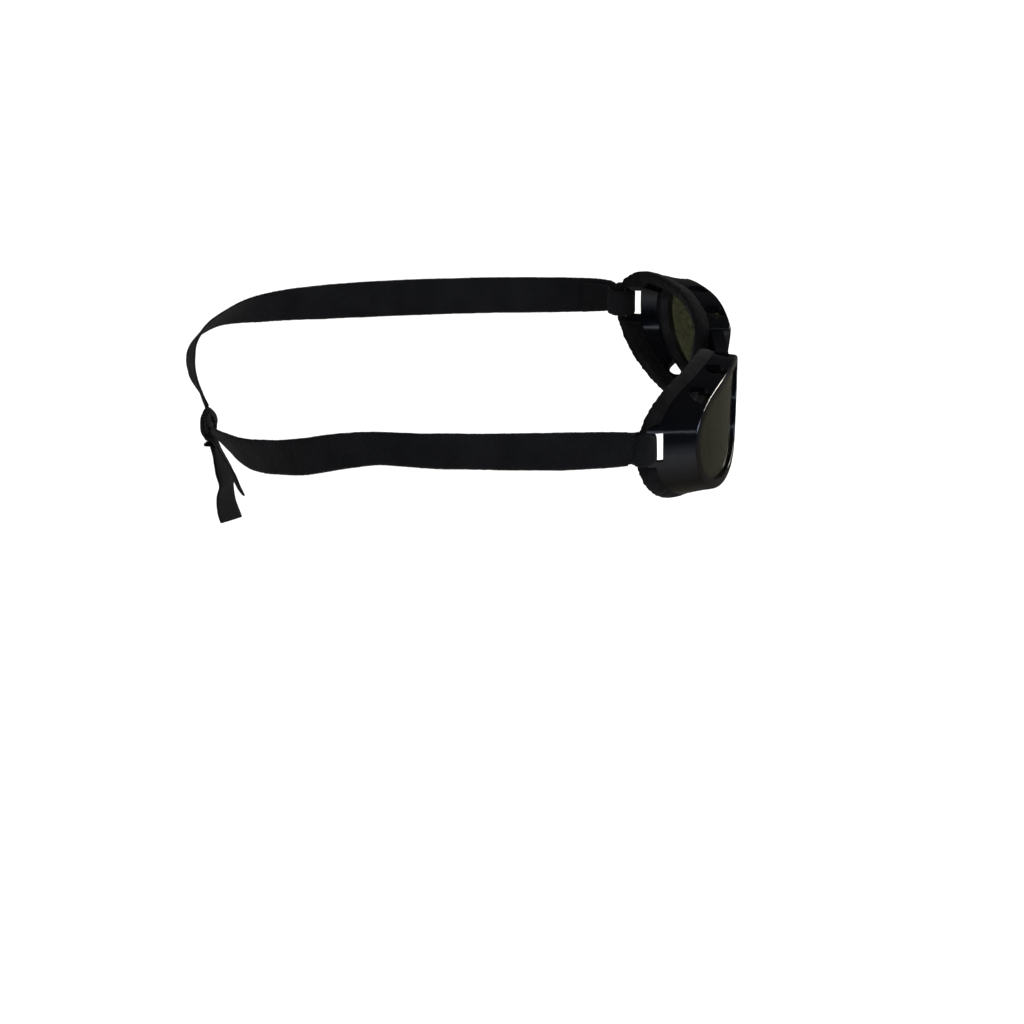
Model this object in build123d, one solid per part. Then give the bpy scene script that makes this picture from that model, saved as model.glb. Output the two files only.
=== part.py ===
from build123d import *
import math
import os

# Welding goggles with a wrap-round moulded frame, snap-in lenses, face seals
# and a woven tape strap that is tied behind the head.
# Millimetres. +Z up, the wearer looks along -Y, the wearer's left is +X.
# Origin: middle of the nose bridge, on its face side.

# --- frame moulding ---
FRONT_RADIUS = 151.0      # plan radius of the wrap-round front
FRONT_SETOUT = 8.0        # front of the rims ahead of the bridge's face side
FACE_RADIUS = 125.0       # plan radius of the edge that follows the face
WALL = 2.0                # cup wall
RIM_WIDTH = 3.6           # from the outer edge of the rim to the lens opening
FLARE = 9.0               # degrees by which the cup walls spread to the rear
RIM_ROUND = 1.3           # rounding of the rim's outer edge
LIP_ROUND = 0.5           # rounding of the rim's inner edge

# --- nose bridge, seen from the front ---
BRIDGE_RECESS = 3.4       # bridge front behind the front of the rims
BRIDGE_TOP_X, BRIDGE_TOP_Z = 19.0, 7.5         # upper ends, inside the cups
BRIDGE_BOTTOM_X, BRIDGE_BOTTOM_Z = 23.0, -13.0 # lower ends, inside the cups
BRIDGE_UPPER_Z, BRIDGE_LOWER_Z = 4.2, -4.6     # edges on the middle plane

# Outer edge of the left rim seen from the front, nasal top corner first.
EYE_OUTLINE = [
    (15.8, 7.0), (32.8, 11.0), (53.4, 10.8), (67.9, 7.6), (74.4, -0.2), (74.7, -9.8),
    (68.9, -21.4), (54.7, -29.2), (39.1, -30.1), (28.5, -25.8), (22.4, -14.0), (17.4, -2.1),
]

# --- vents through the cup wall ---
VENT_WIDTH = 8.0
VENT_START = 2.6          # from the front of the rim to the vent's square end
VENT_END = 8.8            # from the front of the rim to the vent's round end
TOP_VENTS_X = (23.5, 43.5, 62.5)
BOTTOM_VENTS_X = (42.0, 60.0)
TOP_VENT_SPAN = (4.0, 20.0)      # heights between which a top vent is cut
BOTTOM_VENT_SPAN = (-40.0, -20.0)

# --- lens and its snap-in ring ---
LENS_RECESS = 1.2
LENS_THICKNESS = 2.2
LENS_EDGE = 2.3           # from the rim's outer edge to the seat wall
SEAT_CLEARANCE = 0.08
STACK_GAP = 0.05
RING_DEPTH = 2.8
RING_WIDTH = 1.8

# --- face seal ---
SEAL_DEPTH = 6.0
SEAL_PROUD = 0.3
SEAL_RING_GAP = 0.3       # the lens ring can be drawn out through the seal

# --- strap slot in the temple wall ---
SLOT_FRONT_Y = 23.8
SLOT_REAR_Y = 27.4
SLOT_BOTTOM_Z = -9.7
SLOT_TOP_Z = 0.8
LUG_REAR_Y = 29.6
LUG_MARGIN = 2.2          # height of the lug past each end of the slot
SLOT_INNER_X, SLOT_OUTER_X = 66.0, 90.0        # clear of both faces of the wall
LOOP_ROOM_X = 75.2        # the seal is cut away on the inside of this for the loop
LOOP_ROOM_MARGIN = 1.5    # and this far past each end of the slot

# --- woven tape ---
TAPE_WIDTH = 14.7
TAPE_THICKNESS = 1.0
TAPE_START_X = 81.1       # middle of the tape's thickness where it leaves the loop
LOOP_HEIGHT = 10.2        # tape gathered to pass the slot
CREASE_HEIGHT = 11.6      # tape pinched by the stitching
CREASE_Y = 34.5
CREASE_Z = -3.6
PINCH_END_Y = 56.0        # where the tape has its full width again
TAPER_CLEARANCE = 0.6     # the taper's far end is clear of the tape's edges
GATHERED_WIDTH = 8.6      # tape drawn together where it enters the knot
GATHER_NEAR_X, GATHER_FAR_X = 8.0, 34.0        # stretch over which it is drawn together

# Plan view (x, y) of the tape loop round the lug and the seal, left side.
LOOP_PATH = [
    (79.9, 33.4), (79.7, 30.0), (79.0, 27.4), (76.7, 25.8), (74.1, 27.2),
    (73.6, 30.6), (74.2, 34.2), (76.6, 36.2), (79.0, 36.0),
]
# Plan view (x, y) of the left tape, which stands off the back of the head.
LEFT_PATH = [
    (TAPE_START_X, 32.6), (81.3, 45.0), (81.8, 62.0), (82.0, 82.0), (81.5, 104.0), (80.0, 127.0),
    (77.0, 150.0), (71.5, 172.0), (62.0, 189.0), (48.0, 198.5), (32.0, 200.0), (18.0, 196.5), (6.5, 191.5),
]
# Height of the middle of the left tape over x.
LEFT_LEVEL = [(90.0, -2.8), (76.0, -2.8), (62.0, -3.2), (48.0, -5.5), (32.0, -9.5), (18.0, -14.5), (2.0, -19.5)]
# Plan view of the right tape, drawn on the left side; it lies on the head.
RIGHT_PATH = [
    (TAPE_START_X, 32.6), (81.3, 45.0), (81.8, 62.0), (82.0, 82.0), (81.2, 104.0), (79.0, 115.0),
    (70.5, 139.0), (57.0, 160.0), (36.0, 177.0), (18.0, 185.5), (6.5, 189.0),
]
# Height of the middle of the right tape over its distance from the middle plane.
RIGHT_LEVEL = [(90.0, -2.8), (77.0, -2.8), (70.0, -6.7), (57.0, -13.6), (36.0, -18.6), (2.0, -21.5)]

STITCH_COUNT = 9
STITCH_RADIUS = 0.22
STITCH_LENGTH = 2.2
STITCH_MARGIN = 0.8       # from the end of the row to the edge of the tape
STITCH_PROUD = 0.1

# --- knot and the two free ends ---
KNOT_CENTRE = (0.0, 190.3, -20.8)
KNOT_SIZE = (14.0, 6.6, 12.0)
KNOT_ROUND = 2.6
TAIL_NECK = (6.0, 1.6)    # width and thickness of the gathered tape under the knot
TAIL_SPREAD = 9.0         # length over which a tail opens to its full width
TAIL_TRIM = 0.7           # a free end draws in a little narrower than the tape
TAIL_TOP_Z = -27.8
LEFT_TAIL_X, LEFT_TAIL_Y = 1.5, 190.6
LEFT_TAIL_LENGTH = 34.5
LEFT_TAIL_LEAN = (9.0, 3.0)      # degrees forward and sideways
LEFT_TAIL_TWIST = 25.0
RIGHT_TAIL_X, RIGHT_TAIL_Y = -4.5, 188.4
RIGHT_TAIL_LENGTH = 24.0
RIGHT_TAIL_LEAN = (26.0, 18.0)
RIGHT_TAIL_TWIST = -8.0

# Working extents that are well outside the goggles.
CUP_FRONT_Y, CUP_REAR_Y = -12.0, 44.0
TALL = 120.0
LONG = 260.0


def rim_y(x):
    """Front of the rim at a distance x from the middle plane."""
    return FRONT_RADIUS - FRONT_SETOUT - math.sqrt(FRONT_RADIUS**2 - x**2)


def grown(points, amounts):
    """Points of a clockwise closed outline, each moved outwards by its own amount."""
    moved = []
    for i, (x, z) in enumerate(points):
        ahead, behind = points[(i + 1) % len(points)], points[i - 1]
        dx, dz = ahead[0] - behind[0], ahead[1] - behind[1]
        length = math.hypot(dx, dz)
        moved.append((x - dz / length * amounts[i], z + dx / length * amounts[i]))
    return moved


def eye_wire(y, grow, flare=0.0):
    """Eye outline at depth y, offset by grow; flare spreads it behind the rim."""
    spread = math.tan(math.radians(flare))
    amounts = [grow + (y - rim_y(x)) * spread for x, _ in EYE_OUTLINE]
    points = [Vector(x, y, z) for x, z in grown(EYE_OUTLINE, amounts)]
    return Wire([Edge.make_spline(points, periodic=True)])


def flared_block(grow):
    ends = [eye_wire(y, grow, FLARE) for y in (CUP_FRONT_Y, CUP_REAR_Y)]
    return Solid.make_loft(ends, ruled=True)


def straight_block(grow):
    face = Face(eye_wire(CUP_FRONT_Y, grow))
    return Solid.extrude(face, Vector(0, CUP_REAR_Y - CUP_FRONT_Y, 0))


def behind_front(depth):
    """Everything more than depth behind the front of the rims."""
    return Pos(0, FRONT_RADIUS - FRONT_SETOUT + depth, 0) * Cylinder(FRONT_RADIUS, TALL)


def behind_face_edge(depth):
    return Pos(0, FACE_RADIUS + depth, 0) * Cylinder(FACE_RADIUS, TALL)


def box_between(low, high):
    size = [b - a for a, b in zip(low, high)]
    middle = [(a + b) / 2 for a, b in zip(low, high)]
    return Pos(*middle) * Box(*size)


def vent(x, low_z, high_z):
    """D-shaped hole along Z: square towards the rim, round towards the face."""
    front, radius = rim_y(x) + VENT_START, VENT_WIDTH / 2
    centre_y = rim_y(x) + VENT_END - radius
    square = box_between((x - radius, front, low_z), (x + radius, centre_y, high_z))
    end = Pos(x, centre_y, (low_z + high_z) / 2) * Cylinder(radius, high_z - low_z)
    return square + end


def lug_room():
    low = (SLOT_INNER_X, SLOT_FRONT_Y - 1, SLOT_BOTTOM_Z - LUG_MARGIN)
    high = (SLOT_OUTER_X, LUG_REAR_Y, SLOT_TOP_Z + LUG_MARGIN)
    return box_between(low, high)


def lug():
    """Stretch of temple wall that runs on past the face edge, behind the slot."""
    return (flared_block(0) - flared_block(-WALL)) & lug_room()


def cup_hollow():
    seat = straight_block(-LENS_EDGE) & behind_front(LENS_RECESS)
    stack = LENS_RECESS + LENS_THICKNESS + RING_DEPTH
    hollow = flared_block(-WALL) & behind_front(stack)
    return straight_block(-RIM_WIDTH) + seat + hollow


def nose_bridge():
    with BuildSketch(Plane.XZ) as sketch:
        with BuildLine():
            top = ThreePointArc(
                (-BRIDGE_TOP_X, BRIDGE_TOP_Z), (0, BRIDGE_UPPER_Z), (BRIDGE_TOP_X, BRIDGE_TOP_Z)
            )
            right = Line(top @ 1, (BRIDGE_BOTTOM_X, BRIDGE_BOTTOM_Z))
            under = ThreePointArc(right @ 1, (0, BRIDGE_LOWER_Z), (-BRIDGE_BOTTOM_X, BRIDGE_BOTTOM_Z))
            Line(under @ 1, top @ 0)
        make_face()
    block = extrude(sketch.sketch, amount=CUP_REAR_Y, both=True)
    return (block & behind_front(BRIDGE_RECESS)) - behind_face_edge(0)


def strap_slot():
    low = (SLOT_INNER_X, SLOT_FRONT_Y, SLOT_BOTTOM_Z)
    high = (SLOT_OUTER_X, SLOT_REAR_Y, SLOT_TOP_Z)
    return box_between(low, high)


def on_rim_front(edge):
    """True for an edge that lies on the front of a rim."""
    spots = [edge.position_at(t) for t in (0.1, 0.35, 0.6, 0.85)]
    return all(abs(p.Y - rim_y(p.X)) < 0.02 for p in spots)


def make_cup():
    """Left cup: rounded rim, lens opening, seat and hollow, and the strap lug."""
    block = (flared_block(0) & behind_front(0)) - behind_face_edge(0)
    block = block.solid()
    block = block.fillet(RIM_ROUND, [e for e in block.edges() if on_rim_front(e)])
    cup = (block - cup_hollow()).solid()
    lip = min((e for e in cup.edges() if on_rim_front(e)), key=lambda e: e.length)
    return cup.fillet(LIP_ROUND, [lip]) + lug()


def make_frame():
    cup = make_cup()
    hollow = cup_hollow()
    bridge = nose_bridge() - hollow - mirrored(hollow)
    frame = cup + mirrored(cup) + bridge
    vents = [vent(x, *TOP_VENT_SPAN) for x in TOP_VENTS_X]
    vents += [vent(x, *BOTTOM_VENT_SPAN) for x in BOTTOM_VENTS_X]
    for cutter in [strap_slot(), *vents]:
        frame = frame - cutter - mirrored(cutter)
    return frame.solid()


def make_lens():
    blank = straight_block(-LENS_EDGE - SEAT_CLEARANCE)
    front = LENS_RECESS + STACK_GAP
    return (blank & behind_front(front)) - behind_front(front + LENS_THICKNESS)


def make_lens_ring():
    outer = straight_block(-LENS_EDGE - SEAT_CLEARANCE)
    inner = straight_block(-LENS_EDGE - RING_WIDTH)
    front = LENS_RECESS + LENS_THICKNESS + 2 * STACK_GAP
    return ((outer - inner) & behind_front(front)) - behind_front(front + RING_DEPTH)


def make_seal():
    """Foam strip on the face edge, notched round the lug and the strap loop."""
    pad = flared_block(SEAL_PROUD) - straight_block(-LENS_EDGE + SEAL_RING_GAP)
    pad = (pad & behind_face_edge(0)) - behind_face_edge(SEAL_DEPTH)
    low = (SLOT_INNER_X, SLOT_FRONT_Y - 1, SLOT_BOTTOM_Z - LOOP_ROOM_MARGIN)
    high = (LOOP_ROOM_X, CUP_REAR_Y, SLOT_TOP_Z + LOOP_ROOM_MARGIN)
    return pad - lug_room() - box_between(low, high)


def side_offset(path, amount, closed=False):
    """Points of a plan path moved sideways by amount."""
    moved = []
    last = len(path) - 1
    for i, (x, y) in enumerate(path):
        ahead = path[(i + 1) % len(path)] if closed or i < last else path[i]
        behind = path[i - 1] if closed or i > 0 else path[i]
        dx, dy = ahead[0] - behind[0], ahead[1] - behind[1]
        length = math.hypot(dx, dy)
        moved.append(Vector(x - dy / length * amount, y + dx / length * amount, 0))
    return moved


def tape_plan(path):
    """Plan-view face of a tape that stands on edge along an open path."""
    half = TAPE_THICKNESS / 2
    one = Edge.make_spline(side_offset(path, half))
    other = Edge.make_spline(side_offset(path, -half))
    caps = [Edge.make_line(one @ 0, other @ 0), Edge.make_line(one @ 1, other @ 1)]
    return Face(Wire([one, other, *caps]))


def half_width(x):
    """Half the tape's width at x; it is drawn together towards the knot."""
    share = (x - GATHER_NEAR_X) / (GATHER_FAR_X - GATHER_NEAR_X)
    share = min(max(share, 0), 1)
    return (GATHERED_WIDTH + (TAPE_WIDTH - GATHERED_WIDTH) * share) / 2


def level_band(levels):
    """Front-view band of the tape's width about a height given over x."""
    top = Edge.make_spline([Vector(x, 0, z + half_width(x)) for x, z in levels])
    bottom = Edge.make_spline([Vector(x, 0, z - half_width(x)) for x, z in levels])
    caps = [Edge.make_line(top @ 0, bottom @ 0), Edge.make_line(top @ 1, bottom @ 1)]
    face = Face(Wire([top, bottom, *caps]))
    return Solid.extrude(face, Vector(0, LONG, 0))


def crease_taper():
    """Side-view limit of the tape, narrow at the crease and open behind it."""
    near, far = CREASE_HEIGHT / 2, TAPE_WIDTH / 2 + TAPER_CLEARANCE
    lower = [(0, -near), (CREASE_Y, -near), (PINCH_END_Y, -far), (PINCH_END_Y, -TALL), (LONG, -TALL)]
    upper = [(y, -height) for y, height in reversed(lower)]
    outline = [Vector(0, y, CREASE_Z + height) for y, height in lower + upper]
    return Solid.extrude(Face(Wire.make_polygon(outline)), Vector(TALL, 0, 0))


def make_strap(path, levels):
    upright = Pos(0, 0, -TALL / 2) * Solid.extrude(tape_plan(path), Vector(0, 0, TALL))
    return (upright & level_band(levels)) & crease_taper()


def make_loop():
    half = TAPE_THICKNESS / 2
    rings = [
        Wire([Edge.make_spline(side_offset(LOOP_PATH, side, closed=True), periodic=True)])
        for side in (half, -half)
    ]
    inner, outer = sorted(rings, key=lambda wire: wire.length)
    height = Vector(0, 0, LOOP_HEIGHT)
    ring = Solid.extrude(Face(outer), height) - Solid.extrude(Face(inner), height)
    return Pos(0, 0, (SLOT_BOTTOM_Z + SLOT_TOP_Z - LOOP_HEIGHT) / 2) * ring


def make_stitching():
    """Row of thread stitches across the crease, raised on the outside of the tape."""
    row = CREASE_HEIGHT - 2 * STITCH_MARGIN
    pitch = row / (STITCH_COUNT - 1)
    start = CREASE_Z - row / 2
    surface = TAPE_START_X + TAPE_THICKNESS / 2 + STITCH_RADIUS + STITCH_PROUD
    stitch = Rot(90, 0, 0) * capsule(STITCH_RADIUS, STITCH_LENGTH)
    return Compound([Pos(surface, CREASE_Y, start + i * pitch) * stitch for i in range(STITCH_COUNT)])


def capsule(radius, length):
    body = Cylinder(radius, length - 2 * radius)
    ends = [Pos(0, 0, side * (length / 2 - radius)) * Sphere(radius) for side in (-1, 1)]
    return (body + ends[0] + ends[1]).solid()


def make_knot():
    block = Pos(*KNOT_CENTRE) * Box(*KNOT_SIZE)
    return fillet(block.edges(), KNOT_ROUND)


def make_tail(x, y, length, lean, twist):
    """Free end of tape: gathered under the knot, opening to its full width."""
    neck = Rectangle(*TAIL_NECK).face()
    flat = Rot(0, 0, twist) * Rectangle(TAPE_WIDTH - TAIL_TRIM, TAPE_THICKNESS).face()
    spread = Pos(0, 0, -TAIL_SPREAD) * flat
    end = Pos(0, 0, -length) * flat
    strip = Solid.make_loft([neck.outer_wire(), spread.outer_wire()], ruled=True)
    strip = strip + Solid.make_loft([spread.outer_wire(), end.outer_wire()], ruled=True)
    return Pos(x, y, TAIL_TOP_Z) * (Rot(-lean[0], lean[1], 0) * strip)


def mirrored(shape):
    return shape.mirror(Plane.YZ)


def write(name, shape):
    export_step(shape, f"parts/{name}.step")


os.makedirs("parts", exist_ok=True)

write("frame", make_frame())

for part_name, part_shape in (
    ("lens", make_lens()),
    ("lens_ring", make_lens_ring()),
    ("face_seal", make_seal()),
    ("strap_loop", make_loop()),
    ("strap_stitching", make_stitching()),
):
    write(f"left_{part_name}", part_shape)
    write(f"right_{part_name}", mirrored(part_shape))

write("left_strap", make_strap(LEFT_PATH, LEFT_LEVEL))
write("right_strap", mirrored(make_strap(RIGHT_PATH, RIGHT_LEVEL)))
write("strap_knot", make_knot())
write("left_tail", make_tail(LEFT_TAIL_X, LEFT_TAIL_Y, LEFT_TAIL_LENGTH, LEFT_TAIL_LEAN, LEFT_TAIL_TWIST))
write("right_tail", make_tail(RIGHT_TAIL_X, RIGHT_TAIL_Y, RIGHT_TAIL_LENGTH, RIGHT_TAIL_LEAN, RIGHT_TAIL_TWIST))
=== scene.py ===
import math

import bmesh
import bpy
import numpy as np
from mathutils import Matrix, Vector, noise


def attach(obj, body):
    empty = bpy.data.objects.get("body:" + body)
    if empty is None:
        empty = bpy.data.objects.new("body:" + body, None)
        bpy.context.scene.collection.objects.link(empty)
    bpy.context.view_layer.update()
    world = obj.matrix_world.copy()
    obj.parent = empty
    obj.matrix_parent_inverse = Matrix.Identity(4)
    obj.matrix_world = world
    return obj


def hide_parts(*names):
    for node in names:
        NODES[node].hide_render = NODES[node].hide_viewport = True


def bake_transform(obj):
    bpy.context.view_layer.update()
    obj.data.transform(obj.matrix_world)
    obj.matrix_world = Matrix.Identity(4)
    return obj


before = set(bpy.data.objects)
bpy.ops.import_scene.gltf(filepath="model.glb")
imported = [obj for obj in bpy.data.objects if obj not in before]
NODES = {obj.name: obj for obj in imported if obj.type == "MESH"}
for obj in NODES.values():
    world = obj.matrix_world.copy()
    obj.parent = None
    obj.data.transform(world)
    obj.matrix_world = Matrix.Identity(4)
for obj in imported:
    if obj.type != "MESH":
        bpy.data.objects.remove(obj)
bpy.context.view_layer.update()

# Welding goggles: glossy wrap-round frame, dark green lenses, velour-faced foam
# seals and a twill tape that is knotted at the nape. Lengths in millimetres are
# turned into metres with MM.
MM = 0.001
SCENE = bpy.context.scene
SCENE.view_settings.view_transform = "Standard"

# --- camera: a side view from above the wearer's right ear ---
CAMERA_TARGET = Vector((0.0, 76.65, -61.5)) * MM
CAMERA_DISTANCE = 1150 * MM
CAMERA_ELEVATION = 23.6
CAMERA_AZIMUTH = -90.4
CAMERA_ROLL = -0.8
CAMERA_LENS = 105.9

# --- stage ---
FLOOR_Z = -212 * MM
FLOOR_SIZE = 19.0
BACKDROP_RADIUS = 10.0
STRIP_TARGET = (0, 0.02, 0)

# --- tape ---
TAPE_THICKNESS = 0.95
TAPE_STEP = 0.3           # spacing of the sections along the tape
TAPE_ACROSS = 14          # faces over the tape's width
SPAN_SAMPLES = 60         # samples of the spline between two rows
EDGE_POWER = 14           # higher keeps the thickness nearer to the edge
EDGE_THICKNESS = 0.25     # share of the thickness that is left at the edge
SELVEDGE_PITCH = 0.85     # weft loops along each edge
SELVEDGE_DEPTH = 0.17
SELVEDGE_START = 0.86     # share of the half width where the selvedge begins
SELVEDGE_SHARE = 0.14     # share of the half width that it takes
SOFT_WAVE = 0.3           # of the slow waves that a worn tape lies in
CUT_FRAY = 0.12           # unevenness of the cut
CUT_FRAY_TURNS = 90
CUT_REACH = 6.0           # length over which the slanted cut is shared out
PLEAT_DEPTH = 2.2         # of the folds where the tape is drawn together
PLEAT_TURNS = 11.0
PLEATED_WIDTH = 9.8       # tape narrower than this lies in pleats
MM_PER_CM = 10
RIB_PITCH_CM = 0.125      # of the twill's diagonal ribs
YARN_PITCH_CM = 0.042

# --- crease where the tape is sewn behind each cup ---
CREASE_Y = 34.5

# --- bar tack over the crease ---
TACK_X = 80.78
TACK_LOW_Z, TACK_HIGH_Z = -8.3, 1.1
TACK_STITCHES = 16
TACK_HALF_WIDTH = 0.85
THREAD_RADIUS = 0.17

# --- face seal ---
FACE_RADIUS = 125.0
RING_ROOM = 0.75          # the seal's inner side steps back for the lens ring
SEAL_VOXEL = 0.7 * MM
SEAL_SMOOTHING = 8        # passes that round the seal's edges
SEAM_PLACE = 1.3          # the seam's distance behind the face curve
SEAM_DEPTH, SEAM_WIDTH = 0.28, 0.35
BULGE_HEIGHT = 0.35       # of the foam between the seam and its rear
BULGE_LENGTH = 4.7
SEAL_DENTS = ((0.3, 0.14), (1.3, 0.05))   # (noise per millimetre, height)


# ---------------------------------------------------------------- node helpers

def new_material(name):
    material = bpy.data.materials.new(name)
    material.use_nodes = True
    tree = material.node_tree
    return material, tree, tree.nodes["Principled BSDF"]


def add(tree, kind, **values):
    """A node with its settings; a key that names an input sets that input."""
    node = tree.nodes.new(kind)
    for key, value in values.items():
        if key in node.inputs:
            node.inputs[key].default_value = value
        else:
            setattr(node, key, value)
    return node


def object_noise(tree, scale, detail=3.0, roughness=0.55, stretch=(1, 1, 1)):
    """Noise in object space, which is the row frame in metres."""
    place = add(tree, "ShaderNodeTexCoord")
    mapping = add(tree, "ShaderNodeMapping", Scale=stretch)
    tree.links.new(place.outputs["Object"], mapping.inputs["Vector"])
    texture = add(tree, "ShaderNodeTexNoise", Scale=scale, Detail=detail, Roughness=roughness)
    tree.links.new(mapping.outputs["Vector"], texture.inputs["Vector"])
    return texture.outputs["Fac"]


def ramp(tree, factor, stops):
    """A colour ramp; stops are (position, grey level or colour)."""
    node = add(tree, "ShaderNodeValToRGB")
    elements = node.color_ramp.elements
    while len(elements) < len(stops):
        elements.new(0.5)
    for element, (position, value) in zip(elements, stops):
        element.position = position
        element.color = (value, value, value, 1) if isinstance(value, float) else (*value, 1)
    tree.links.new(factor, node.inputs["Fac"])
    return node.outputs["Color"]


def combine(tree, kind, first, second, factor=1.0):
    """MixRGB of two colours; each is an output or a colour."""
    node = add(tree, "ShaderNodeMix", data_type="RGBA", blend_type=kind)
    for index, value in ((0, factor), (6, first), (7, second)):
        socket = node.inputs[index]
        if isinstance(value, bpy.types.NodeSocket):
            tree.links.new(value, socket)
        else:
            socket.default_value = value
    return node.outputs[2]


def maths(tree, operation, *values):
    node = add(tree, "ShaderNodeMath", operation=operation)
    for socket, value in zip(node.inputs, values):
        if isinstance(value, bpy.types.NodeSocket):
            tree.links.new(value, socket)
        else:
            socket.default_value = value
    return node.outputs[0]


def bump(tree, shader, height, strength, distance, after=None):
    node = add(tree, "ShaderNodeBump", Strength=strength, Distance=distance)
    tree.links.new(height, node.inputs["Height"])
    if after is not None:
        tree.links.new(after, node.inputs["Normal"])
    tree.links.new(node.outputs["Normal"], shader.inputs["Normal"])
    return node.outputs["Normal"]


def dust(tree, scale, threshold):
    """Sparse specks, 1 on a speck and 0 between."""
    place = add(tree, "ShaderNodeTexCoord")
    cells = add(tree, "ShaderNodeTexVoronoi", Scale=scale)
    tree.links.new(place.outputs["Object"], cells.inputs["Vector"])
    near = ramp(tree, cells.outputs["Distance"], [(0.0, 1.0), (0.16, 0.0)])
    pick = add(tree, "ShaderNodeSeparateColor")
    tree.links.new(cells.outputs["Color"], pick.inputs["Color"])
    chosen = maths(tree, "GREATER_THAN", pick.outputs["Red"], threshold)
    return maths(tree, "MULTIPLY", near, chosen)


# -------------------------------------------------------------------- materials

def glossy_plastic():
    """Polished moulded black with faint flow marks, handling haze and dust."""
    material, tree, shader = new_material("glossy_black_plastic")
    haze = object_noise(tree, 55, 4, 0.6)
    fine = object_noise(tree, 900, 2, 0.5)
    scratches = object_noise(tree, 260, 5, 0.7, stretch=(1, 0.12, 1))
    specks = dust(tree, 420, 0.93)
    colour = ramp(tree, haze, [(0.3, (0.0011, 0.0012, 0.0016)), (0.7, (0.0020, 0.0021, 0.0026))])
    colour = combine(tree, "MIX", colour, (0.03, 0.03, 0.028, 1), specks)
    tree.links.new(colour, shader.inputs["Base Color"])
    gloss = ramp(tree, haze, [(0.25, 0.06), (0.75, 0.14)])
    marks = ramp(tree, scratches, [(0.56, 0.0), (0.68, 0.10)])
    gloss = combine(tree, "ADD", gloss, marks)
    tree.links.new(gloss, shader.inputs["Roughness"])
    ripple = bump(tree, shader, haze, 0.10, 0.00025)
    bump(tree, shader, fine, 0.05, 0.00004, ripple)
    shader.inputs["IOR"].default_value = 1.5
    return material


def satin_plastic():
    """Finely textured black of the lens rings."""
    material, tree, shader = new_material("satin_black_plastic")
    grain = object_noise(tree, 1800, 2, 0.5)
    haze = object_noise(tree, 120, 3, 0.6)
    colour = ramp(tree, haze, [(0.3, (0.004, 0.004, 0.0045)), (0.7, (0.007, 0.007, 0.0075))])
    tree.links.new(colour, shader.inputs["Base Color"])
    tree.links.new(ramp(tree, haze, [(0.3, 0.36), (0.7, 0.5)]), shader.inputs["Roughness"])
    bump(tree, shader, grain, 0.25, 0.00006)
    return material


def shade_lens():
    """Dark green welding shade, polished, with a few wipe marks."""
    material, tree, shader = new_material("dark_green_shade")
    wipe = object_noise(tree, 90, 4, 0.6, stretch=(1, 1, 0.25))
    tint = ramp(tree, wipe, [(0.3, (0.024, 0.026, 0.013)), (0.7, (0.030, 0.032, 0.017))])
    tree.links.new(tint, shader.inputs["Base Color"])
    tree.links.new(ramp(tree, wipe, [(0.35, 0.03), (0.75, 0.09)]), shader.inputs["Roughness"])
    shader.inputs["Transmission Weight"].default_value = 0.85
    shader.inputs["IOR"].default_value = 1.5
    return material


def velour():
    """Short black nap over foam, with lint caught in it."""
    material, tree, shader = new_material("black_velour")
    nap = object_noise(tree, 2600, 3, 0.7)
    patches = object_noise(tree, 160, 4, 0.6)
    lint = dust(tree, 700, 0.955)
    shades = [(0.3, (0.0022, 0.0022, 0.0025)), (0.75, (0.0062, 0.0062, 0.0068))]
    colour = ramp(tree, patches, shades)
    colour = combine(tree, "MULTIPLY", colour, ramp(tree, nap, [(0.3, 0.5), (0.7, 1.0)]))
    colour = combine(tree, "MIX", colour, (0.05, 0.048, 0.045, 1), lint)
    tree.links.new(colour, shader.inputs["Base Color"])
    shader.inputs["Roughness"].default_value = 0.95
    shader.inputs["Specular IOR Level"].default_value = 0.05
    shader.inputs["Sheen Weight"].default_value = 0.03
    shader.inputs["Sheen Roughness"].default_value = 0.4
    first = bump(tree, shader, nap, 0.7, 0.00018)
    bump(tree, shader, patches, 0.35, 0.0005, first)
    return material


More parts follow.
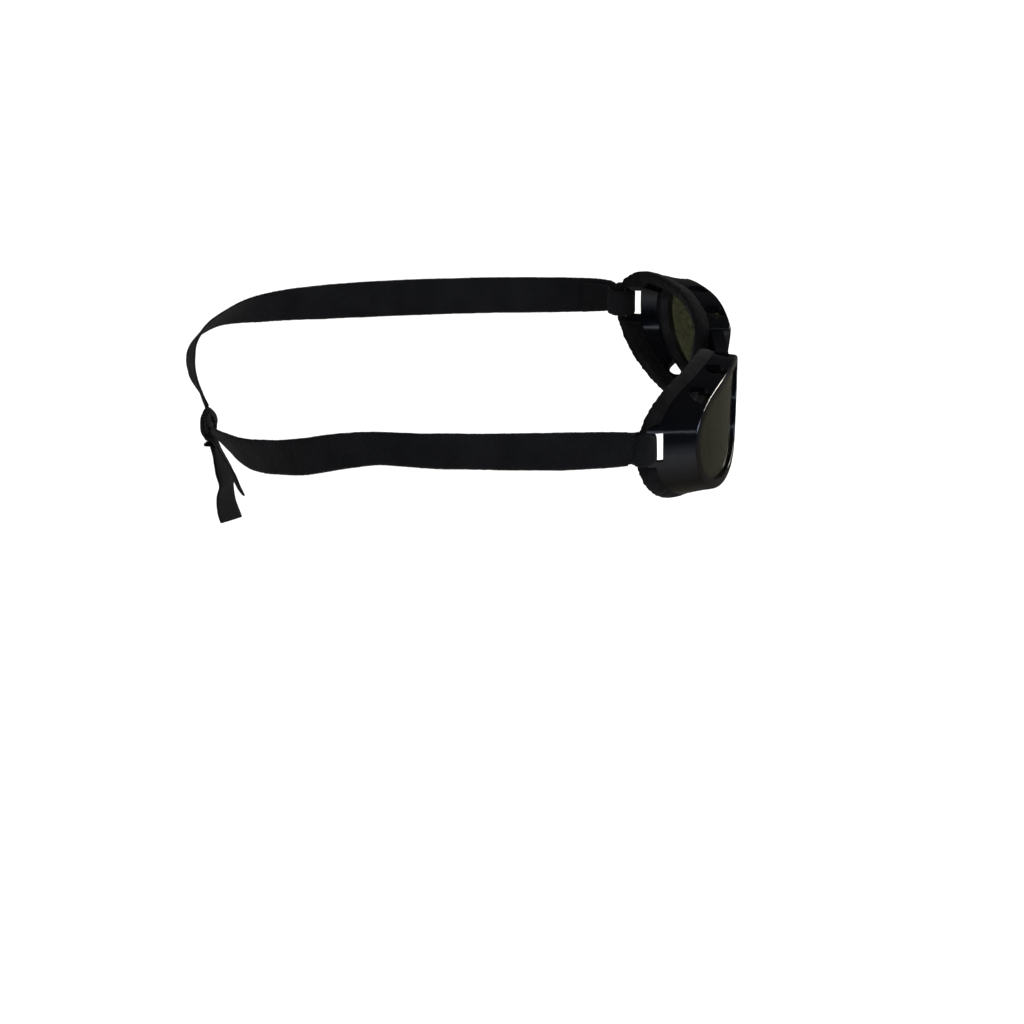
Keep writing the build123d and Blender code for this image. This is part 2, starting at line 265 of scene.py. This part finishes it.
def twill():
    """Black twill tape with painted shade in the grooves between its ribs and yarns; the map named tape
    holds centimetres along and across.
    """
    material, tree, shader = new_material("black_twill_tape")
    place = add(tree, "ShaderNodeUVMap", uv_map="tape")
    wander = object_noise(tree, 500, 2, 0.5)
    split = add(tree, "ShaderNodeSeparateXYZ")
    tree.links.new(place.outputs["UV"], split.inputs["Vector"])
    diagonal = maths(tree, "ADD", split.outputs["X"], split.outputs["Y"])
    shifted = maths(tree, "ADD", diagonal, maths(tree, "MULTIPLY", wander, 0.02))
    rib = maths(tree, "SINE", maths(tree, "MULTIPLY", shifted, 2 * math.pi / RIB_PITCH_CM))
    yarn_rate = 2 * math.pi / YARN_PITCH_CM
    weft = maths(tree, "SINE", maths(tree, "MULTIPLY", split.outputs["Y"], yarn_rate))
    warp = maths(tree, "SINE", maths(tree, "MULTIPLY", split.outputs["X"], yarn_rate))
    cross = maths(tree, "MULTIPLY", weft, warp)
    height = maths(tree, "ADD", rib, maths(tree, "MULTIPLY", cross, 0.35))
    worn = object_noise(tree, 70, 4, 0.6)
    fluff = object_noise(tree, 3200, 2, 0.6)
    # The weave's height also darkens the colour where it is low: painted shade in the grooves between
    # ribs and yarns.
    level = maths(tree, "MULTIPLY_ADD", height, 0.37, 0.5)
    painted_groove_shade = ramp(tree, level, [(0.1, 0.22), (0.9, 1.0)])
    base = ramp(tree, worn, [(0.3, (0.0040, 0.0042, 0.0050)), (0.75, (0.0088, 0.0091, 0.0104))])
    colour = combine(tree, "MULTIPLY", base, painted_groove_shade)
    colour = combine(tree, "MIX", colour, (0.04, 0.039, 0.037, 1), dust(tree, 650, 0.975))
    tree.links.new(colour, shader.inputs["Base Color"])
    shader.inputs["Roughness"].default_value = 0.82
    shader.inputs["Specular IOR Level"].default_value = 0.08
    shader.inputs["Sheen Weight"].default_value = 0.03
    shader.inputs["Sheen Roughness"].default_value = 0.4
    first = bump(tree, shader, height, 0.6, 0.00012)
    bump(tree, shader, fluff, 0.35, 0.00006, first)
    return material


def thread():
    """Twisted sewing thread, with painted shade between the plies of its twist."""
    material, tree, shader = new_material("black_thread")
    place = add(tree, "ShaderNodeTexCoord")
    lay = add(tree, "ShaderNodeTexWave", Scale=2200.0, Distortion=1.5, bands_direction="DIAGONAL")
    tree.links.new(place.outputs["Object"], lay.inputs["Vector"])
    # The twist's bands also set the colour, darker in the hollows between plies: painted shade.
    shades = [(0.2, (0.003, 0.003, 0.0035)), (0.8, (0.009, 0.009, 0.010))]
    colour = ramp(tree, lay.outputs["Fac"], shades)
    tree.links.new(colour, shader.inputs["Base Color"])
    shader.inputs["Roughness"].default_value = 0.6
    bump(tree, shader, lay.outputs["Fac"], 0.5, 0.00005)
    return material


PLASTIC = glossy_plastic()
SATIN = satin_plastic()
LENS = shade_lens()
VELOUR = velour()
TWILL = twill()
THREAD = thread()


def paint(obj, material):
    if not obj.material_slots:
        obj.data.materials.append(material)
    for slot in obj.material_slots:
        slot.material = material


# ------------------------------------------------------------------ mesh helpers

def link(obj):
    SCENE.collection.objects.link(obj)
    return obj


def smooth_rows(rows, step):
    """Catmull-Rom through rows of (x, y, z, more...), sampled every step along it."""
    rows = np.array(rows, float)
    ends = np.vstack([2 * rows[0] - rows[1], rows, 2 * rows[-1] - rows[-2]])
    fine = []
    for i in range(1, len(ends) - 2):
        p0, p1, p2, p3 = ends[i - 1:i + 3]
        t = np.linspace(0, 1, SPAN_SAMPLES, endpoint=False)[:, None]
        fine.append(0.5 * (2 * p1 + (p2 - p0) * t + (2 * p0 - 5 * p1 + 4 * p2 - p3) * t**2
                           + (3 * p1 - p0 - 3 * p2 + p3) * t**3))
    fine = np.vstack([*fine, rows[-1:]])
    run = np.concatenate([[0], np.cumsum(np.linalg.norm(np.diff(fine[:, :3], axis=0), axis=1))])
    count = max(int(run[-1] / step), 4)
    even = np.linspace(0, run[-1], count + 1)
    return np.stack([np.interp(even, run, fine[:, k]) for k in range(fine.shape[1])], 1), even


def unit(vectors):
    return vectors / np.linalg.norm(vectors, axis=-1, keepdims=True)


def tape_frames(points, tilts, hanging):
    """Width and face directions along the tape; tilt turns it about its run.

    A side tape stands on edge, so its width starts out upright; a hanging end's
    width starts out along X.
    """
    run = unit(np.gradient(points, axis=0))
    start = np.array([1.0, 0.0, 0.0]) if hanging else np.array([0.0, 0.0, 1.0])
    flat = unit(start - run * (run @ start)[:, None])
    out = np.cross(run, flat)
    turn = np.radians(tilts)[:, None]
    return run, flat * np.cos(turn) + out * np.sin(turn), out * np.cos(turn) - flat * np.sin(turn)


def tape_section(across, half_thickness):
    """Closed section as (share of the width, offset); the edges are rounded."""
    share = np.linspace(-0.5, 0.5, across + 1)
    thin = half_thickness * np.clip(1 - (np.abs(share) * 2) ** EDGE_POWER, EDGE_THICKNESS, 1)
    top = np.stack([share, thin], 1)
    bottom = np.stack([share, -thin], 1)[::-1]
    return np.vstack([top, bottom])


def ribbon_mesh(name, sections, maps, closed):
    """Skin over equal sections, capped at both ends unless it closes on itself."""
    size, count = len(sections[0]), len(sections)
    quads = [
        (i * size + j, i * size + (j + 1) % size,
         (i + 1) % count * size + (j + 1) % size, (i + 1) % count * size + j)
        for i in range(count if closed else count - 1) for j in range(size)
    ]
    if not closed:
        last = (count - 1) * size
        for j in range(size // 2 - 1):
            quads.append((j + 1, size - 2 - j, size - 1 - j, j))
            quads.append((last + j, last + size - 1 - j, last + size - 2 - j, last + j + 1))
    mesh = bpy.data.meshes.new(name)
    mesh.from_pydata([tuple(v * MM) for section in sections for v in section], [], quads)
    layer = mesh.uv_layers.new(name="tape")
    for loop in mesh.loops:
        layer.data[loop.index].uv = maps[loop.vertex_index]
    solid = bmesh.new()
    solid.from_mesh(mesh)
    bmesh.ops.recalc_face_normals(solid, faces=solid.faces)
    solid.to_mesh(mesh)
    solid.free()
    mesh.shade_smooth()
    mesh.materials.append(TWILL)
    return link(bpy.data.objects.new(name, mesh))


def make_tape(name, rows, seed, hanging=False, cut=0.0):
    """Woven tape along rows of (x, y, z, tilt, width); gives the object and its length.

    Where it is narrower than woven it is pleated; cut slants the free end.
    """
    samples, run = smooth_rows(rows, TAPE_STEP)
    points, tilts, widths = samples[:, :3], samples[:, 3], samples[:, 4]
    runs, sides, faces = tape_frames(points, tilts, hanging)
    section = tape_section(TAPE_ACROSS, TAPE_THICKNESS / 2)
    sections, maps = [], []
    for along, point, ahead, side, face, width in zip(run, points, runs, sides, faces, widths):
        loops = math.sin(2 * math.pi * along / SELVEDGE_PITCH + seed)
        gathered = max(0.0, 1 - width / PLEATED_WIDTH)
        near_end = max(0.0, 1 - (run[-1] - along) / CUT_REACH)
        ring = []
        for share, offset in section:
            edge = max(0.0, abs(share) * 2 - SELVEDGE_START) / SELVEDGE_SHARE
            fray = noise.noise(Vector((along * 1.9, share * 3 + seed, 1.0)))
            reach = share * width + math.copysign(edge, share) * SELVEDGE_DEPTH * (loops + fray)
            pleat = gathered * PLEAT_DEPTH * math.cos(share * PLEAT_TURNS + seed + along * 0.05)
            soft = SOFT_WAVE * noise.noise(Vector((along * 0.10, share * 1.2, seed)))
            slant = near_end * (cut * share + CUT_FRAY * math.sin(share * CUT_FRAY_TURNS + seed))
            ring.append(point + side * reach + face * (offset + pleat + soft) + ahead * slant)
            maps.append((along / MM_PER_CM, share * width / MM_PER_CM))
        sections.append(ring)
    return ribbon_mesh(name, sections, maps, closed=False), run[-1]


def mirror_rows(rows):
    """The same tape on the other side; the tilt changes sign with it."""
    return [(-x, y, z, -tilt, *rest) for x, y, z, tilt, *rest in rows]


# ------------------------------------------------------------------- CAD pieces

paint(NODES["frame"], PLASTIC)
for side_name in ("left", "right"):
    paint(NODES[f"{side_name}_lens"], LENS)
    paint(NODES[f"{side_name}_lens_ring"], SATIN)

# ------------------------------------------------------------------- soft pieces

def face_edge_y(x):
    """The face curve's y, which the cups' rear edges follow, at x."""
    return FACE_RADIUS - math.sqrt(FACE_RADIUS**2 - x**2)


def make_seal(side):
    """Foam strip: the CAD ring with softened edges, a seam line and a worn surface."""
    cad_mesh = NODES[f"{side}_face_seal"].data.copy()
    seal = link(bpy.data.objects.new(f"{side}_velour_seal", cad_mesh))
    remesh = seal.modifiers.new("even", "REMESH")
    remesh.mode = "VOXEL"
    remesh.voxel_size = SEAL_VOXEL
    relax = seal.modifiers.new("soften", "SMOOTH")
    relax.factor = 0.5
    relax.iterations = SEAL_SMOOTHING
    bpy.context.view_layer.update()
    evaluated = seal.evaluated_get(bpy.context.evaluated_depsgraph_get())
    seal.modifiers.clear()
    seal.data = bpy.data.meshes.new_from_object(evaluated)
    mesh = seal.data
    normals = [v.normal.copy() for v in mesh.vertices]
    cup_middle = sum((v.co for v in mesh.vertices), Vector()) / len(mesh.vertices)
    for vertex, normal in zip(mesh.vertices, normals):
        x, y, z = vertex.co / MM
        depth = y - face_edge_y(min(abs(x), FACE_RADIUS - 1))
        rough = sum(noise.noise(Vector((x, y, z)) * rate) * height for rate, height in SEAL_DENTS)
        behind_seam = depth - SEAM_PLACE
        seam = -SEAM_DEPTH * math.exp(-(behind_seam / SEAM_WIDTH) ** 2)
        bulge = BULGE_HEIGHT * math.sin(math.pi * min(max(behind_seam / BULGE_LENGTH, 0), 1))
        inward = 1.0 if normal.dot(cup_middle - vertex.co) > 0 else 0.0
        inset = RING_ROOM * inward * abs(normal.y - 1.0) ** 0.5
        vertex.co += normal * (rough + seam + bulge - inset) * MM
    mesh.shade_smooth()
    mesh.materials.clear()
    mesh.materials.append(VELOUR)
    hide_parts(f"{side}_face_seal")
    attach(seal, "goggle_body")


for side_name in ("left", "right"):
    make_seal(side_name)

# Tape from its sewn end inside the loop, round the lug, over the crease and back
# towards the knot: (x, y, z, tilt, width), drawn for the left side.
LOOP_ROWS = [
    (79.7, 47.0, -3.5, 0, 12.4), (79.3, 41.0, -3.6, 0, 11.4), (78.6, 36.9, -3.8, 0, 10.8),
    (76.6, 36.2, -4.2, 0, 10.4), (74.5, 34.0, -4.4, 0, 10.2), (73.8, 31.0, -4.4, 0, 10.1),
    (74.6, 27.8, -4.4, 0, 10.0), (77.0, 26.4, -4.4, 0, 9.9), (79.2, 27.7, -4.4, 0, 10.6),
    (80.5, 30.3, -4.0, 0, 12.2), (80.7, 32.6, -3.8, 0, 12.2), (80.1, 34.5, -3.5, 0, 11.2),
    (80.8, 36.6, -3.1, 0, 12.8),
]
RIGHT_ROWS = LOOP_ROWS + [
    (81.3, 45.0, -3.0, 2, 14.0), (81.9, 60.0, -3.0, 3, 14.7), (82.1, 80.0, -2.7, 7, 14.7),
    (81.3, 104.0, -2.4, 10, 14.7), (79.0, 115.0, -2.5, 14, 14.7), (75.4, 127.5, -3.4, 14, 14.6),
    (70.3, 139.5, -6.6, 12, 14.7), (64.0, 151.0, -10.8, 11, 14.7), (56.0, 161.0, -14.2, 13, 14.6),
    (45.0, 171.3, -17.6, 17, 14.4), (34.0, 178.5, -19.3, 22, 13.6), (22.0, 184.0, -20.4, 28, 11.5),
    (11.0, 187.6, -21.2, 22, 9.0), (3.0, 189.6, -21.3, 10, 7.0),
]
LEFT_ROWS = LOOP_ROWS + [
    (81.3, 45.0, -3.0, 2, 14.0), (81.9, 62.0, -3.0, 3, 14.7), (82.0, 82.0, -2.8, 5, 14.7),
    (81.5, 104.0, -2.8, 6, 14.7), (80.0, 127.0, -2.8, 5, 14.7), (77.0, 150.0, -2.8, -4, 14.7),
    (71.5, 172.0, -2.6, -20, 14.7), (62.0, 188.0, -2.8, -42, 14.7), (48.0, 197.0, -5.2, -40, 14.7),
    (33.0, 198.6, -9.0, -16, 14.6), (19.0, 195.6, -13.8, 12, 13.2), (9.0, 192.4, -17.6, 14, 9.6),
    (2.5, 190.6, -19.6, 5, 7.0),
]


def make_side_tape(side, rows, seed):
    tape, length = make_tape(f"{side}_tape", rows, seed)
    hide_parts(f"{side}_strap", f"{side}_strap_loop")
    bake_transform(tape)
    return length


TAPE_LENGTHS = {
    "left": make_side_tape("left", LEFT_ROWS, 3),
    "right": make_side_tape("right", mirror_rows(RIGHT_ROWS), 8),
}

# -------------------------------------------------------------- crease stitching

def make_stitches(side):
    """Zigzag bar tack over the crease."""
    sign = 1 if side == "left" else -1
    curve = bpy.data.curves.new(f"{side}_bar_tack", "CURVE")
    curve.dimensions = "3D"
    curve.bevel_depth = THREAD_RADIUS * MM
    curve.bevel_resolution = 2
    spline = curve.splines.new("POLY")
    spline.points.add(TACK_STITCHES)
    for i, point in enumerate(spline.points):
        z = TACK_LOW_Z + (TACK_HIGH_Z - TACK_LOW_Z) * i / TACK_STITCHES
        y = CREASE_Y + (TACK_HALF_WIDTH if i % 2 else -TACK_HALF_WIDTH)
        point.co = (sign * TACK_X * MM, y * MM, z * MM, 1)
    obj = link(bpy.data.objects.new(f"{side}_bar_tack", curve))
    curve.materials.append(THREAD)
    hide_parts(f"{side}_strap_stitching")
    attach(obj, "goggle_body")


for side_name in ("left", "right"):
    make_stitches(side_name)

# --------------------------------------------------------------- knot and tails

KNOT_MIDDLE = np.array([0.0, 190.2, -22.6])
KNOT_CORE_RADII = (6.4, 1.9, 4.7)
CORE_PLEATS = 9
CORE_PLEAT_DEPTH = 0.07
CORE_LUMPS = 0.12
TURN_SECTIONS = 90
TURN_HALF_THICKNESS = 0.6
TURN_PINCH = 0.25         # share of its width that a turn loses where it is drawn in
TURN_FOLD = 0.26
TURN_FOLDS = 9
TURN_WRINKLE = 0.25


def make_turn(name, lean, shift, depth, height, width, seed):
    """A flat turn of gathered tape round the knot, its width along X."""
    section = tape_section(TAPE_ACROSS, TURN_HALF_THICKNESS)
    length = math.pi * (depth + height)
    sections, maps = [], []
    for a in np.linspace(0, 2 * math.pi, TURN_SECTIONS, endpoint=False):
        ring = np.array([shift, depth * math.cos(a), height * math.sin(a)])
        ring[0] += math.tan(math.radians(lean)) * ring[2]
        outward = unit(np.array([0, height * math.cos(a), depth * math.sin(a)]))
        pinch = 1 - TURN_PINCH * math.cos(2 * a) ** 2
        skin = []
        for share, offset in section:
            fold = TURN_FOLD * math.cos(share * TURN_FOLDS + 2.2 * math.sin(a + seed))
            spot = Vector((share * 2.5, math.cos(a) * 1.6, math.sin(a) * 1.6 + seed))
            wrinkle = TURN_WRINKLE * noise.noise(spot)
            across = np.array([share * width * pinch, 0, 0])
            skin.append(KNOT_MIDDLE + ring + across + outward * (offset + fold + wrinkle))
            maps.append((a / (2 * math.pi) * length / MM_PER_CM, share * width / MM_PER_CM))
        sections.append(skin)
    return ribbon_mesh(name, sections, maps, closed=True)


def make_core():
    """The bundle of folds inside the knot, drawn out towards both tapes."""
    bpy.ops.mesh.primitive_uv_sphere_add(segments=72, ring_count=48, radius=1)
    core = bpy.context.object
    core.name = core.data.name = "knot_core"
    for vertex in core.data.vertices:
        x, y, z = vertex.co
        turn = math.atan2(z, y)
        lump = CORE_LUMPS * noise.noise(vertex.co * 2.5)
        pleat = 1 + CORE_PLEAT_DEPTH * math.cos(turn * CORE_PLEATS + 2 * x) + lump
        flat = Vector((x, y * pleat, z * pleat))
        boxy = (abs(flat.y) ** 3 + abs(flat.z) ** 3) ** (1 / 3) or 1
        squared = math.hypot(flat.y, flat.z) / boxy
        vertex.co = (Vector(KNOT_MIDDLE) + Vector((
            flat.x * KNOT_CORE_RADII[0],
            flat.y * squared * KNOT_CORE_RADII[1],
            flat.z * squared * KNOT_CORE_RADII[2],
        ))) * MM
    layer = core.data.uv_layers.new(name="tape")
    for loop in core.data.loops:
        spot = core.data.vertices[loop.vertex_index].co / MM
        layer.data[loop.index].uv = (spot.x / MM_PER_CM, (spot.y + spot.z) / MM_PER_CM)
    core.data.shade_smooth()
    core.data.materials.append(TWILL)
    return core


# A folded corner of tape that stands out behind the foot of the knot.
FLAP_ROWS = [
    (-1.0, 187.2, -29.4, 0, 4.6), (-1.2, 188.7, -30.0, 6, 4.0),
    (-1.6, 190.6, -30.7, 10, 2.4), (-1.8, 192.4, -31.0, 12, 0.4),
]


def make_knot():
    pieces = [
        make_core(),
        make_turn("knot_front_turn", 22, -1.9, 2.3, 4.8, 5.6, 1.0),
        make_turn("knot_back_turn", -18, 2.1, 2.1, 4.4, 5.4, 4.0),
        make_tape("knot_flap", FLAP_ROWS, 6.0)[0],
    ]
    for piece in pieces:
        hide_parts("strap_knot")
        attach(piece, "strap_body")


make_knot()

# The two free ends below the knot, from its foot to their slanted cuts.
LEFT_TAIL_ROWS = [
    (0.5, 190.0, -24.5, 0, 5.0), (1.0, 189.6, -28.5, 4, 6.0), (1.0, 188.2, -34.0, 10, 9.0),
    (0.2, 186.4, -40.5, 16, 12.5), (-0.6, 184.8, -46.0, 18, 14.0), (-0.8, 185.5, -51.0, 22, 14.4),
    (-1.2, 185.2, -56.5, 24, 14.4), (-2.0, 183.6, -62.0, 24, 14.2),
]
RIGHT_TAIL_ROWS = [
    (-3.9, 188.5, -26.3, 0, 5.6), (-4.7, 187.8, -28.6, -6, 7.2), (-7.0, 185.0, -33.5, -14, 11.5),
    (-9.4, 181.8, -38.5, -17, 13.4), (-11.2, 179.8, -43.0, -18, 13.8), (-12.2, 178.4, -46.0, -18, 13.8),
]


def make_tail(side, rows, seed, cut):
    tape, length = make_tape(f"{side}_free_end", rows, seed, hanging=True, cut=cut)
    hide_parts(f"{side}_tail")
    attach(tape, f"{side}_tail_body")
    return length


TAPE_LENGTHS["left end"] = make_tail("left", LEFT_TAIL_ROWS, 2.0, 3.0)
TAPE_LENGTHS["right end"] = make_tail("right", RIGHT_TAIL_ROWS, 5.0, -3.5)

# ------------------------------------------------------------------------- stage

def stage_material(name, colour):
    material, tree, shader = new_material(name)
    grain = object_noise(tree, 40, 3)
    shades = [(0.3, tuple(0.985 * c for c in colour)), (0.7, colour)]
    tree.links.new(ramp(tree, grain, shades), shader.inputs["Base Color"])
    shader.inputs["Roughness"].default_value = 0.9
    shader.inputs["Specular IOR Level"].default_value = 0.1
    return material


def make_floor():
    bpy.ops.mesh.primitive_plane_add(size=FLOOR_SIZE, location=(0, 0, FLOOR_Z))
    floor = bpy.context.object
    floor.name = "floor"
    floor.data.materials.append(stage_material("pale_floor", (0.93, 0.93, 0.93)))
    floor.visible_glossy = False


def make_backdrop():
    """A pale glow behind low views; only the camera and the lenses see it."""
    bpy.ops.mesh.primitive_uv_sphere_add(radius=BACKDROP_RADIUS, segments=48, ring_count=24)
    backdrop = bpy.context.object
    backdrop.name = "backdrop"
    material, tree, shader = new_material("pale_backdrop")
    shader.inputs["Base Color"].default_value = (0, 0, 0, 1)
    shader.inputs["Specular IOR Level"].default_value = 0
    shader.inputs["Emission Color"].default_value = (1.0, 1.0, 1.0, 1)
    shader.inputs["Emission Strength"].default_value = 1.0
    backdrop.data.materials.append(material)
    backdrop.visible_glossy = False
    backdrop.visible_diffuse = False
    backdrop.visible_shadow = False


def aim(obj, place, target):
    obj.location = place
    obj.rotation_mode = "QUATERNION"
    obj.rotation_quaternion = (Vector(target) - Vector(place)).to_track_quat("-Z", "Y")


def soft_sun(name, place, strength, spread, colour):
    """Even light from a wide patch of sky that the gloss doesn't mirror."""
    data = bpy.data.lights.new(name, "SUN")
    data.energy = strength
    data.angle = math.radians(spread)
    data.color = colour
    lamp = link(bpy.data.objects.new(name, data))
    lamp.visible_glossy = False
    aim(lamp, place, (0, 0, 0))


def strip_light(name, place, size, radiance, colour):
    """A panel that the rounded rims and the tops of the cups mirror."""
    data = bpy.data.lights.new(name, "AREA")
    data.shape = "RECTANGLE"
    data.size, data.size_y = size
    data.energy = radiance * math.pi * size[0] * size[1]
    data.color = colour
    lamp = link(bpy.data.objects.new(name, data))
    aim(lamp, place, STRIP_TARGET)


def make_world():
    """Dim room that the gloss mirrors, dark above; on the wearer's right it has a
    soft grey glow low down and a thin bright line higher up."""
    world = bpy.data.worlds.new("studio")
    world.use_nodes = True
    tree = world.node_tree
    background = tree.nodes["Background"]
    place = add(tree, "ShaderNodeTexCoord")
    split = add(tree, "ShaderNodeSeparateXYZ")
    tree.links.new(place.outputs["Generated"], split.inputs["Vector"])
    height = maths(tree, "MULTIPLY_ADD", split.outputs["Z"], 0.5, 0.5)
    glow = ramp(tree, height, [
        (0.05, (0.30, 0.30, 0.31)), (0.20, (0.50, 0.52, 0.57)), (0.34, (0.22, 0.23, 0.27)),
        (0.45, (0.02, 0.03, 0.055)), (0.64, (0.012, 0.02, 0.04)), (0.665, (1.5, 1.65, 1.9)),
        (0.69, (0.02, 0.022, 0.03)), (1.0, (0.010, 0.011, 0.014)),
    ])
    dim = ramp(tree, height, [
        (0.0, (0.10, 0.092, 0.075)), (0.40, (0.075, 0.07, 0.06)),
        (0.55, (0.02, 0.02, 0.022)), (1.0, (0.012, 0.013, 0.016)),
    ])
    turned = maths(tree, "MULTIPLY_ADD", split.outputs["X"], -0.5, 0.5)
    rightward = ramp(tree, turned, [(0.5, 0.0), (0.8, 1.0)])
    tree.links.new(combine(tree, "MIX", dim, glow, rightward), background.inputs["Color"])
    SCENE.world = world


def make_camera():
    azimuth, elevation = math.radians(CAMERA_AZIMUTH), math.radians(CAMERA_ELEVATION)
    back = Vector((
        math.sin(azimuth) * math.cos(elevation),
        -math.cos(azimuth) * math.cos(elevation),
        math.sin(elevation),
    ))
    data = bpy.data.cameras.new("camera")
    data.lens = CAMERA_LENS
    data.clip_start, data.clip_end = 0.05, 200
    camera = link(bpy.data.objects.new("camera", data))
    camera.location = CAMERA_TARGET + back * CAMERA_DISTANCE
    camera.rotation_mode = "QUATERNION"
    roll = Matrix.Rotation(math.radians(CAMERA_ROLL), 4, "Z").to_quaternion()
    camera.rotation_quaternion = (-back).to_track_quat("-Z", "Y") @ roll
    SCENE.camera = camera


make_floor()
make_backdrop()
make_world()
make_camera()
soft_sun("overhead", (-0.4, -0.2, 1.0), 3.1, 110, (1.0, 0.995, 0.985))
soft_sun("side", (-1.0, 0.3, 0.45), 0.9, 70, (0.96, 0.98, 1.0))
strip_light("front_strip", (0.55, -1.5, 0.62), (1.5, 0.34), 16.0, (1.0, 0.95, 0.86))
strip_light("window_strip", (-0.9, -1.45, 0.35), (0.7, 0.5), 7.0, (0.62, 0.72, 1.0))
strip_light("rear_strip", (-0.9, 1.2, 0.75), (0.5, 0.3), 3.0, (0.82, 0.9, 1.0))
